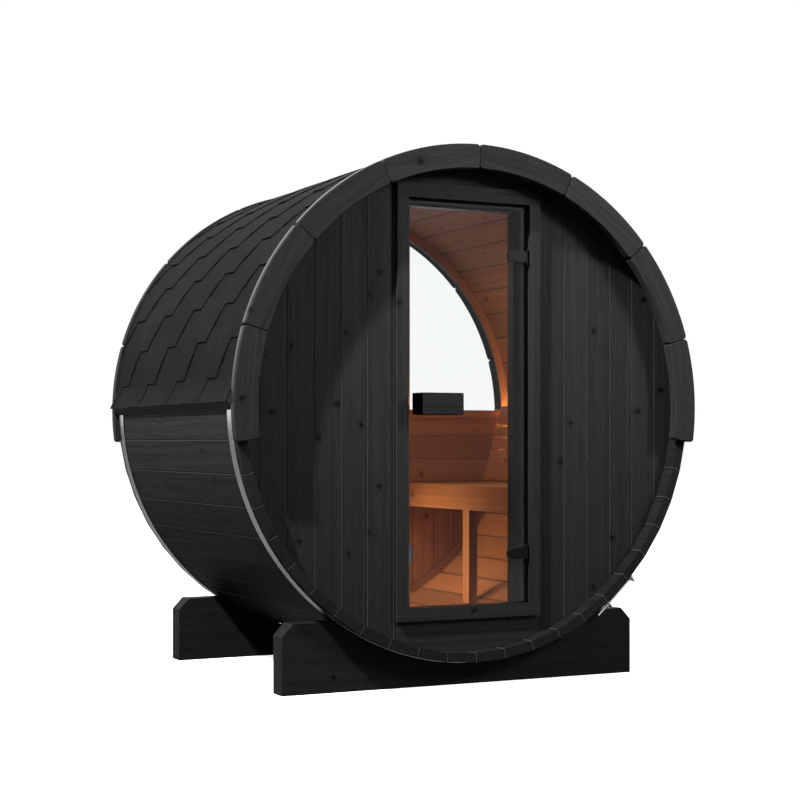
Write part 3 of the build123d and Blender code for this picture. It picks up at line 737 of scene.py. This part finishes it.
@dataclass(frozen=True)
class Granules(Finish):
    """Roofing felt with mineral granules, one tone to a tab, and dark under and at the sides of each tab."""

    dark: Colour = (0.0008, 0.0008, 0.0010)
    light: Colour = (0.0096, 0.0094, 0.0112)
    side_shade: Colour = (0.0012, 0.0012, 0.0013)
    rough: float = 0.75
    gloss: float = 0.07
    grain_scale: float = 260.0
    cloud_scale: float = 9.0
    cloud_share: float = 0.15
    tab_tones: Pair = (0.86, 1.14)
    relief: float = 0.4
    relief_depth: float = 0.0012

    def paint(self, g: Graph, shader: bpy.types.Node) -> None:
        """Paints fine grains and a faint cloud, times the tab's tone.

        Args:
            g: the material's graph.
            shader: its Principled BSDF.
        """
        coordinates = g.node("ShaderNodeTexCoord").outputs["Object"]
        grains = g.noise(coordinates, self.grain_scale, 2.0, 0.75)
        cloud = g.noise(coordinates, self.cloud_scale, 3.0)
        tab = g.node("ShaderNodeAttribute", attribute_name="tab_tone").outputs["Fac"]
        side = g.node("ShaderNodeAttribute", attribute_name="tab_side").outputs["Fac"]
        mixed = g.blend(self.cloud_share, grains, cloud)
        base = g.tint(g.mix(g.step(mixed, 0.36, 0.64), self.dark, self.light), g.blend(tab, *self.tab_tones))
        g.put(shader.inputs["Base Color"], g.mix(g.step(side, 0.0, 0.35), base, self.side_shade))
        shader.inputs["Roughness"].default_value = self.rough
        shader.inputs["Specular IOR Level"].default_value = self.gloss
        g.put(shader.inputs["Normal"], g.bump(grains, self.relief, self.relief_depth))


STEEL = Metal("bright_band", (0.80, 0.81, 0.82), 0.22)
HINGE = Metal("satin_hinge", (0.014, 0.014, 0.013), 0.30, brush=(60.0, 60.0, 900.0))
BLACK = Metal("satin_black", (0.02, 0.02, 0.021), 0.4, metallic=0.3)
SHINGLE = Granules("granule_shingle")


def dress(nodes: Sequence[str], material: bpy.types.Material) -> None:
    """Gives CAD nodes a material on every slot.

    Args:
        nodes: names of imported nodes.
        material: the finish they take.
    """
    for name in nodes:
        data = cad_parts[name].data
        if not data.materials:
            data.materials.append(material)
        for place in range(len(data.materials)):
            data.materials[place] = material
        LOG.info("dressed %s with %s", name, material.name)


def mesh_piece(name: str, points: np.ndarray, faces: np.ndarray, body: str) -> bpy.types.Object:
    """Makes a riding piece from arrays of points and faces.

    Args:
        name: the piece's name.
        points: n by 3 places in metres.
        faces: m by 4 or m by 3 point numbers.
        body: the body it rides on.

    Returns:
        The new object, linked to the scene.
    """
    data = bpy.data.meshes.new(name)
    data.from_pydata(points.tolist(), [], faces.tolist())
    data.validate()
    piece = bpy.data.objects.new(name, data)
    bpy.context.scene.collection.objects.link(piece)
    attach(piece, body)
    LOG.info("made %s with %d faces", name, len(data.polygons))
    return piece


@dataclass
class Shell:
    """Staves, front and rear trim blocks, cradles, bands and eave laths."""

    block_angle: float = 24.5
    block_first: float = -8.0
    glossy_radius: float = 1.0275
    room_front: float = -0.642
    room_radius: float = 0.9765
    cradle_height: float = 0.272

    def dress(self) -> None:
        """Gives the shell its stained timber and steel."""
        staves = Timber(
            "stave_timber", Lay.STAVES, outside=SHADED, inside=WARM, pitch=STAVE_ANGLE, front=self.room_front,
            rear=RING_FACE, radius=self.room_radius, joint=math.radians(STAVE_ANGLE / 2) * STAVE_RADIUS,
            facet=0.0036, line_width=0.0020, knots=0.6,
        )
        dress([f"staves_{n}" for n in range(1, 9)], staves.material())
        blocks = Timber(
            "trim_timber", Lay.BLOCKS, pitch=self.block_angle, origin=self.block_first, knots=0.3,
            coat_radius=self.glossy_radius,
        )
        dress(["front_trim", "rear_trim"], blocks.material())
        cradle = Timber("cradle_timber", Lay.LYING, outside=SHADED, pitch=self.cradle_height, knots=0.5)
        dress(["front_cradle", "rear_cradle"], cradle.material())
        lath = Timber("lath_timber", Lay.STACKED, outside=PALE, pitch=0.4, knots=0.15)
        dress(["eave_lath_left", "eave_lath_right"], lath.material())
        dress(["front_band", "rear_band", "front_band_rod", "rear_band_rod"], STEEL.material())


@dataclass
class Roof:
    """Shingles over the upper half: rows of six-sided tabs on a curved line with flared eaves."""

    radius: float = 1.0157
    flare_height: float = 0.118
    tip_x: float = 1.0466
    tip_height: float = 0.0065
    half_length: float = 0.734
    row_pitch: float = 0.1484
    first_edge_angle: float = 5.75
    tab_period: float = 0.369
    tab_bottom: float = 0.103
    tab_spread: float = 0.083
    tab_offset: float = -0.497
    sheet: float = 0.0036
    lift: float = 0.0062
    lift_fall: float = 0.72
    eave_share: float = 0.2
    eave_stretch: float = 0.12
    curl: float = 0.0006
    sink: float = 0.0003
    overlap: float = 0.05
    felt_flare: float = 1.45
    felt_sink: float = 0.0002
    felt_tone: float = 0.3
    ridge_half: float = 0.15
    ridge_exposure: float = 0.142
    ridge_overlap: float = 0.04
    ridge_stand: float = 0.0046
    ridge_lift: float = 0.0034
    ridge_under: float = 0.0015
    ridge_columns: int = 11
    columns: int = 6
    rows: int = 8
    seed: int = 7

    def line(self, arc: np.ndarray) -> tuple[np.ndarray, np.ndarray, np.ndarray, np.ndarray]:
        """Point and outward normal of the roof's section at an arc length from the ridge.

        The line is the circle x = r sin(s / r), z = r cos(s / r), with x moved out by k p squared where p is
        the arc length past the start of the flare. Its normal is (sin(s / r), cos(s / r) + 2 k p), made unit.

        Args:
            arc: arc lengths from the ridge, of any shape.

        Returns:
            x, z, normal x and normal z, each shaped as arc.
        """
        run = self.eave_arc() - self.flare_arc()
        tip = self.radius * math.sin(self.eave_arc() / self.radius)
        bulge = (self.tip_x - tip) / run**2
        past = np.clip(arc - self.flare_arc(), 0.0, run)
        angle = arc / self.radius
        x = self.radius * np.sin(angle) + bulge * past**2
        z = self.radius * np.cos(angle)
        normal_x = np.sin(angle)
        normal_z = np.cos(angle) + 2 * bulge * past
        size = np.hypot(normal_x, normal_z)
        return x, z, normal_x / size, normal_z / size

    def flare_arc(self) -> float:
        """Arc length from the ridge to the start of the flare."""
        return self.radius * math.acos(self.flare_height / self.radius)

    def eave_arc(self) -> float:
        """Arc length from the ridge to the eave's tip."""
        return self.radius * math.acos(self.tip_height / self.radius)

    def closed_faces(self, count: int, stations: int, ring: int) -> np.ndarray:
        """Faces of closed tubes whose ring of points is carried over a row of stations, with both ends filled.

        Args:
            count: number of tubes.
            stations: rings in each tube.
            ring: points in each ring, an even number, the second half running back under the first.

        Returns:
            The quads as point numbers.
        """
        s = np.arange(stations - 1)[:, None]
        k = np.arange(ring)[None, :]
        after = (k + 1) % ring
        below, above = s * ring, (s + 1) * ring
        sides = np.stack([below + k, below + after, above + after, above + k], -1).reshape(-1, 4)
        half = ring // 2
        c = np.arange(half - 1)
        low = np.stack([c, ring - 1 - c, ring - 2 - c, c + 1], -1)
        high = np.stack([c, c + 1, ring - 2 - c, ring - 1 - c], -1) + (stations - 1) * ring
        one = np.concatenate([sides, low, high])
        return (one[None] + (np.arange(count) * stations * ring)[:, None, None]).reshape(-1, 4)

    def tabs(self, side: int) -> tuple[np.ndarray, np.ndarray, np.ndarray]:
        """Points, faces and tones of all tabs on one side.

        A tab is the map of two parameters. The height above its bottom edge runs from the eave cut to one
        row and the overlap, and the width at that height is the bottom width and twice the spread times the
        height over the row. Its top surface stands off the roof line by half the sheet, a small curl at the
        middle of its width, and a lift. The lift falls linearly with the height, and over the last stretch
        before the eave. Its underside lies just below the line.

        Args:
            side: -1 for the left half, 1 for the right half.

        Returns:
            points, faces, and one tone for each point.
        """
        rng = np.random.default_rng(self.seed + side)
        eave = self.eave_arc()
        first = self.radius * (math.pi / 2 - math.radians(self.first_edge_angle))
        rows = np.arange(-1, int(first / self.row_pitch) + 1)
        across = np.arange(-4, 5)
        row, column = (a.ravel() for a in np.meshgrid(rows, across, indexing="ij"))
        centre = self.tab_offset + column * self.tab_period + np.where(row % 2 == 0, 0.0, self.tab_period / 2)
        edge = first - row * self.row_pitch
        keep = np.abs(centre) < self.half_length + self.tab_bottom / 2 + self.tab_spread
        keep &= edge - self.row_pitch > 0
        centre, edge = centre[keep], edge[keep]
        low = np.maximum(0.0, edge - eave)
        t = np.linspace(0.0, 1.0, self.rows)[None, :]
        high = low[:, None] + t * (self.row_pitch + self.overlap - low[:, None])
        half = self.tab_bottom / 2 + self.tab_spread * np.minimum(high / self.row_pitch, 1.0)
        left = np.clip(centre[:, None] - half, -self.half_length, self.half_length)
        right = np.clip(centre[:, None] + half, -self.half_length, self.half_length)
        s = np.linspace(0.0, 1.0, self.columns)
        s = np.concatenate([s, s[::-1]])[None, None, :]
        y = left[:, :, None] + (right - left)[:, :, None] * s
        arc = np.maximum((edge[:, None] - high)[:, :, None] + 0 * s, 0.0)
        x, z, nx, nz = self.line(arc)
        rise = (high / (self.row_pitch + self.overlap))[:, :, None]
        curl = self.curl * (1 - rise) * np.cos((s - 0.5) * math.pi)
        above = np.clip((eave - arc) / self.eave_stretch, 0.0, 1.0)
        share = self.eave_share + (1 - self.eave_share) * above
        top = self.sheet * 0.5 + self.lift * (1 - self.lift_fall * rise) * share + curl
        under = np.concatenate([np.zeros(self.columns), np.ones(self.columns)])[None, None, :]
        off = top * (1 - under) - self.sink * under
        points = np.stack([side * (x + nx * off), y, AXIS_HEIGHT + z + nz * off], -1)
        faces = self.closed_faces(len(centre), self.rows, 2 * self.columns)
        if side > 0:
            faces = faces[:, ::-1]
        tone = np.broadcast_to(rng.random(len(centre))[:, None, None], arc.shape)
        return points.reshape(-1, 3), faces, tone.reshape(-1)

    def ridge(self) -> tuple[np.ndarray, np.ndarray, np.ndarray]:
        """Points, faces and tones of the caps that bend over the ridge.

        Each cap is a grid over the arc across the ridge and the length along it. It stands off the roof line
        by a lift that falls from its front edge to its back edge, under the next cap.

        Returns:
            points, faces, and one tone for each point.
        """
        count = int(math.ceil(2 * self.half_length / self.ridge_exposure))
        front = -self.half_length + np.arange(count) * self.ridge_exposure
        t = np.linspace(0.0, 1.0, 4)[None, :, None]
        back = np.minimum(front + self.ridge_exposure + self.ridge_overlap, self.half_length)
        y = front[:, None, None] + (back - front)[:, None, None] * t
        s = np.linspace(-1.0, 1.0, self.ridge_columns)
        s = np.concatenate([s, s[::-1]])[None, None, :]
        arc = s * self.ridge_half + 0 * y
        x, z, nx, nz = self.line(np.abs(arc))
        under = np.concatenate([np.zeros(self.ridge_columns), np.ones(self.ridge_columns)])[None, None, :]
        off = (self.ridge_stand + self.ridge_lift * (1 - 0.8 * t)) * (1 - under) + self.ridge_under * under
        points = np.stack([np.sign(arc) * (x + nx * off), y + 0 * arc, AXIS_HEIGHT + z + nz * off], -1)
        faces = self.closed_faces(count, 4, 2 * self.ridge_columns)
        tone = np.broadcast_to(np.random.default_rng(self.seed).random(count)[:, None, None], arc.shape)
        return points.reshape(-1, 3), faces, tone.reshape(-1)

    def felt(self, side: int) -> tuple[np.ndarray, np.ndarray]:
        """Points and faces of the closed underlay on one side: the roof line carried along the length.

        Args:
            side: -1 for the left half, 1 for the right half.

        Returns:
            points and faces.
        """
        round_part = np.linspace(0.0, self.felt_flare - 0.03, 44)
        arc = np.concatenate([round_part, np.linspace(self.felt_flare, self.eave_arc(), 16)])
        x, z, nx, nz = self.line(arc)
        off = np.where(np.arange(2 * len(arc)) < len(arc), self.sheet * 0.5, -self.felt_sink)
        x2, z2, nx2, nz2 = (np.concatenate([a, a[::-1]]) for a in (x, z, nx, nz))
        y = np.array([-self.half_length, self.half_length])[:, None]
        points = np.stack(
            [side * (x2 + nx2 * off) + 0 * y, y + 0 * x2, AXIS_HEIGHT + z2 + nz2 * off + 0 * y], -1
        )
        faces = self.closed_faces(1, 2, 2 * len(arc))
        return points.reshape(-1, 3), faces if side > 0 else faces[:, ::-1]

    def build(self) -> None:
        """Makes the two halves with their underlay, and the ridge caps."""
        for side, node in ((-1, "roof_left"), (1, "roof_right")):
            points, faces, tone = self.tabs(side)
            felt_points, felt_faces = self.felt(side)
            every = np.concatenate([felt_points, points])
            all_faces = np.concatenate([felt_faces, faces + len(felt_points)])
            piece = mesh_piece(f"shingles_{node[5:]}", every, all_faces, "root")
            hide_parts(node)
            flat = np.zeros(len(felt_points))
            all_tones = np.concatenate([flat + self.felt_tone, tone])
            self.finish(piece, all_tones, np.concatenate([flat, self.under(tone)]))
        points, faces, tone = self.ridge()
        self.finish(mesh_piece("shingles_ridge", points, faces, "root"), tone, 0 * tone)

    def under(self, tone: np.ndarray) -> np.ndarray:
        """Returns 1 for each point on the underside of a tab and 0 for each on its top."""
        ring = 2 * self.columns
        return ((np.arange(len(tone)) % ring) >= self.columns).astype(float)

    def finish(self, piece: bpy.types.Object, tone: np.ndarray, side: np.ndarray) -> None:
        """Writes the values of each point and gives the granule finish.

        Args:
            piece: the shingles.
            tone: each point's tone, from 0 to 1.
            side: 1 on the underside of a tab, 0 on its top.
        """
        for name, values in (("tab_tone", tone), ("tab_side", side)):
            attribute = piece.data.attributes.new(name, "FLOAT", "POINT")
            attribute.data.foreach_set("value", values.astype(np.float32))
        piece.data.materials.append(SHINGLE.material())


@dataclass
class Front:
    """Front wall, door frame, glass door and its fittings."""

    header_joint: float = 0.02
    jamb_pitch: float = 0.6
    end_face: float = 0.003

    def dress(self) -> None:
        """Gives the front its finishes."""
        wall = Timber("wall_timber", Lay.UPRIGHT, inside=WARM, front=WALL_MIDDLE, knots=0.7, facet=0.002)
        dress(["front_wall_left", "front_wall_right"], wall.material())
        lying = Timber(
            "wall_timber_lying", Lay.LYING, inside=WARM, front=WALL_MIDDLE, pitch=0.4, origin=self.header_joint,
            knots=0.5,
        )
        dress(["front_wall_header", "front_wall_base"], lying.material())
        jamb = Timber("frame_timber", Lay.UPRIGHT, pitch=self.jamb_pitch, origin=-self.jamb_pitch / 2, knots=0.25)
        dress(["door_jamb_left", "door_jamb_right"], jamb.material())
        rail = Timber("frame_timber_lying", Lay.LYING, pitch=self.jamb_pitch, origin=0.1, knots=0.25)
        dress(["door_head", "door_sill"], rail.material())
        handle = Timber(
            "handle_block", Lay.LYING, outside=BLOCK_BLACK, pitch=0.3, origin=1.0, knots=0.0,
            black_below=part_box("door_handle")[0].x + self.end_face,
        )
        dress(["door_handle"], handle.material())
        dress(["door_glass"], Glass("clear_door_pane").material())
        dress(["hinge_clamps", "hinge_brackets"], HINGE.material())
        dress(["door_latch_plate"], BLACK.material())


@dataclass
class Rear:
    """Rear wall with its ring, boards, rail and half-round pane."""

    ring_angle: float = 30.0
    boards_face: float = 0.72

    def dress(self) -> None:
        """Gives the rear its finishes."""
        ring = Timber("ring_timber", Lay.BLOCKS, inside=WARM, pitch=self.ring_angle, knots=0.2, rear=RING_FACE)
        dress(["rear_ring_upper", "rear_ring_lower"], ring.material())
        boards = Timber(
            "rear_wall_timber", Lay.UPRIGHT, inside=WARM, rear=self.boards_face, knots=0.5, facet=0.0012,
            change_height=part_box("bench_seat")[1].z,
        )
        dress(["rear_wall_boards"], boards.material())
        rail = Timber("rail_timber", Lay.LYING, inside=HONEY, rear=RING_FACE, pitch=0.3, origin=1.0, knots=0.3)
        dress(["window_rail"], rail.material())
        dress(["window_glass"], Glass("clear_window_pane").material())


@dataclass
class Bench:
    """Bench, post, leaning backrest and the light strip behind it."""

    seat_boards: int = 4
    seat_gap: float = 0.010
    slat_pitch: float = 0.075
    glow: float = 32.0

    def dress(self) -> None:
        """Gives the bench its finishes."""
        low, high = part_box("bench_seat")
        pitch = (high.x - low.x + self.seat_gap) / self.seat_boards
        start = low.x - self.seat_gap / 2
        seat = Timber("seat_timber", Lay.LONG, outside=HONEY, pitch=pitch, origin=start, knots=0.15)
        dress(["bench_seat"], seat.material())
        apron = Timber("apron_timber", Lay.STACKED, outside=HONEY, pitch=0.4, origin=0.5, knots=0.2)
        dress(["bench_apron", "bench_battens"], apron.material())
        slats = Timber("slat_timber", Lay.STACKED, outside=HONEY, pitch=self.slat_pitch, origin=0.02, knots=0.1)
        dress(["backrest_slats"], slats.material())
        post = Timber("post_timber", Lay.UPRIGHT, outside=HONEY, pitch=0.3, knots=0.0)
        dress(["bench_post", "backrest_supports"], post.material())
        dress(["light_strip"], Glow("warm_diffuser", (1.0, 0.72, 0.36), self.glow).material())


@dataclass(frozen=True)
class Lamp:
    """One area lamp aimed at a point."""

    name: str
    place: Triple
    aim: Triple
    size: float
    power: float
    colour: Colour = (1.0, 1.0, 1.0)
    spread: float = 180.0

    def build(self) -> None:
        """Makes the lamp, unseen by the camera."""
        data = bpy.data.lights.new(self.name, "AREA")
        data.shape = "DISK"
        data.size = self.size
        data.energy = self.power
        data.color = self.colour
        data.spread = math.radians(self.spread)
        lamp = bpy.data.objects.new(self.name, data)
        lamp.location = self.place
        lamp.rotation_euler = (Vector(self.aim) - Vector(self.place)).to_track_quat("-Z", "Y").to_euler()
        lamp.visible_camera = False
        lamp.visible_transmission = False
        bpy.context.scene.collection.objects.link(lamp)


@dataclass
class Studio:
    """Floor, background, lamps and camera."""

    lamps: tuple[Lamp, ...] = (
        Lamp("key", (-7.4, -3.2, 8.7), (0.0, 0.0, 1.1), 0.4, 2650.0, (1.0, 0.985, 0.95)),
        Lamp("fill", (3.6, -4.6, 3.7), (0.0, 0.0, 1.6), 1.6, 215.0, (0.97, 0.985, 1.0)),
        Lamp("back", (4.6, 6.4, 5.0), (0.0, 0.0, 1.1), 3.0, 210.0, (0.97, 0.985, 1.0)),
        Lamp("room", (-0.16, 0.085, 1.80), (0.30, 0.085, 0.40), 0.12, 5.0, (1.0, 0.70, 0.40), 160.0),
        Lamp("room_low", (-0.50, 0.56, 0.52), (0.50, 0.36, 0.28), 0.10, 2.2, (1.0, 0.72, 0.40), 70.0),
    )
    horizon: Colour = (0.034, 0.037, 0.042)
    zenith: Colour = (0.40, 0.41, 0.44)
    floor_mirrored: float = 0.15
    floor_tone: Colour = (0.86, 0.86, 0.86)
    floor_bounce: Colour = (0.05, 0.05, 0.05)
    floor_glow: float = 0.86
    floor_reach: float = 40.0
    camera_place: Triple = (-3.2317, -6.6058, 0.9592)
    camera_turn: float = -26.265
    sensor: float = 36.0
    lens: float = 76.34
    camera_rise: float = 0.0545

    def build(self) -> None:
        """Makes the whole studio."""
        for lamp in self.lamps:
            lamp.build()
        self.world()
        self.floor()
        self.camera()
        bpy.context.scene.view_settings.view_transform = "Standard"

    def world(self) -> None:
        """Makes a pale sky that is plain white to the camera, to reflections and through glass."""
        made = bpy.data.worlds.new("studio")
        bpy.context.scene.world = made
        made.use_nodes = True
        g = Graph(made.node_tree)
        sky = made.node_tree.nodes["Background"]
        path = g.node("ShaderNodeLightPath").outputs
        seen = g.math("MAXIMUM", path["Is Camera Ray"], path["Is Transmission Ray"])
        seen = g.math("MAXIMUM", seen, path["Is Glossy Ray"])
        height = g.split(g.node("ShaderNodeTexCoord").outputs["Generated"])[2]
        ambient = g.mix(g.step(height, -0.1, 1.0), self.horizon, self.zenith)
        g.put(sky.inputs["Color"], g.mix(seen, ambient, (1.0, 1.0, 1.0)))

    def floor(self) -> None:
        """Makes a wide pale floor that takes the object's shadow."""
        data = bpy.data.meshes.new("floor")
        reach = self.floor_reach
        corners = [(-reach, -reach, 0.0), (reach, -reach, 0.0), (reach, reach, 0.0), (-reach, reach, 0.0)]
        data.from_pydata(corners, [], [(0, 1, 2, 3)])
        made = bpy.data.materials.new("floor")
        made.use_nodes = True
        g = Graph(made.node_tree)
        shader = made.node_tree.nodes["Principled BSDF"]
        shader.inputs["Roughness"].default_value = 0.9
        shader.inputs["Specular IOR Level"].default_value = 0.0
        shader.inputs["Emission Color"].default_value = (1.0, 1.0, 1.0, 1.0)
        path = g.node("ShaderNodeLightPath").outputs
        seen = g.math("MAXIMUM", path["Is Camera Ray"], path["Is Transmission Ray"])
        g.put(shader.inputs["Base Color"], g.mix(seen, self.floor_bounce, self.floor_tone))
        mirrored = g.math("MULTIPLY", path["Is Glossy Ray"], self.floor_mirrored)
        g.put(shader.inputs["Emission Strength"], g.math("MULTIPLY_ADD", seen, self.floor_glow, mirrored))
        data.materials.append(made)
        floor = bpy.data.objects.new("floor", data)
        bpy.context.scene.collection.objects.link(floor)

    def camera(self) -> None:
        """Makes the level camera, left of the door, with the frame moved up a little."""
        data = bpy.data.cameras.new("camera")
        data.sensor_width = self.sensor
        data.lens = self.lens
        data.shift_y = self.camera_rise
        made = bpy.data.objects.new("camera", data)
        made.location = self.camera_place
        made.rotation_euler = (math.radians(90.0), 0.0, math.radians(self.camera_turn))
        bpy.context.scene.collection.objects.link(made)
        bpy.context.scene.camera = made


def main() -> None:
    """Builds and dresses every sub-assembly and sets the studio."""
    logging.basicConfig(level=logging.INFO, format="%(message)s")
    Shell().dress()
    Roof().build()
    Front().dress()
    Rear().dress()
    Bench().dress()
    Studio().build()


if __name__ == "__main__":
    main()
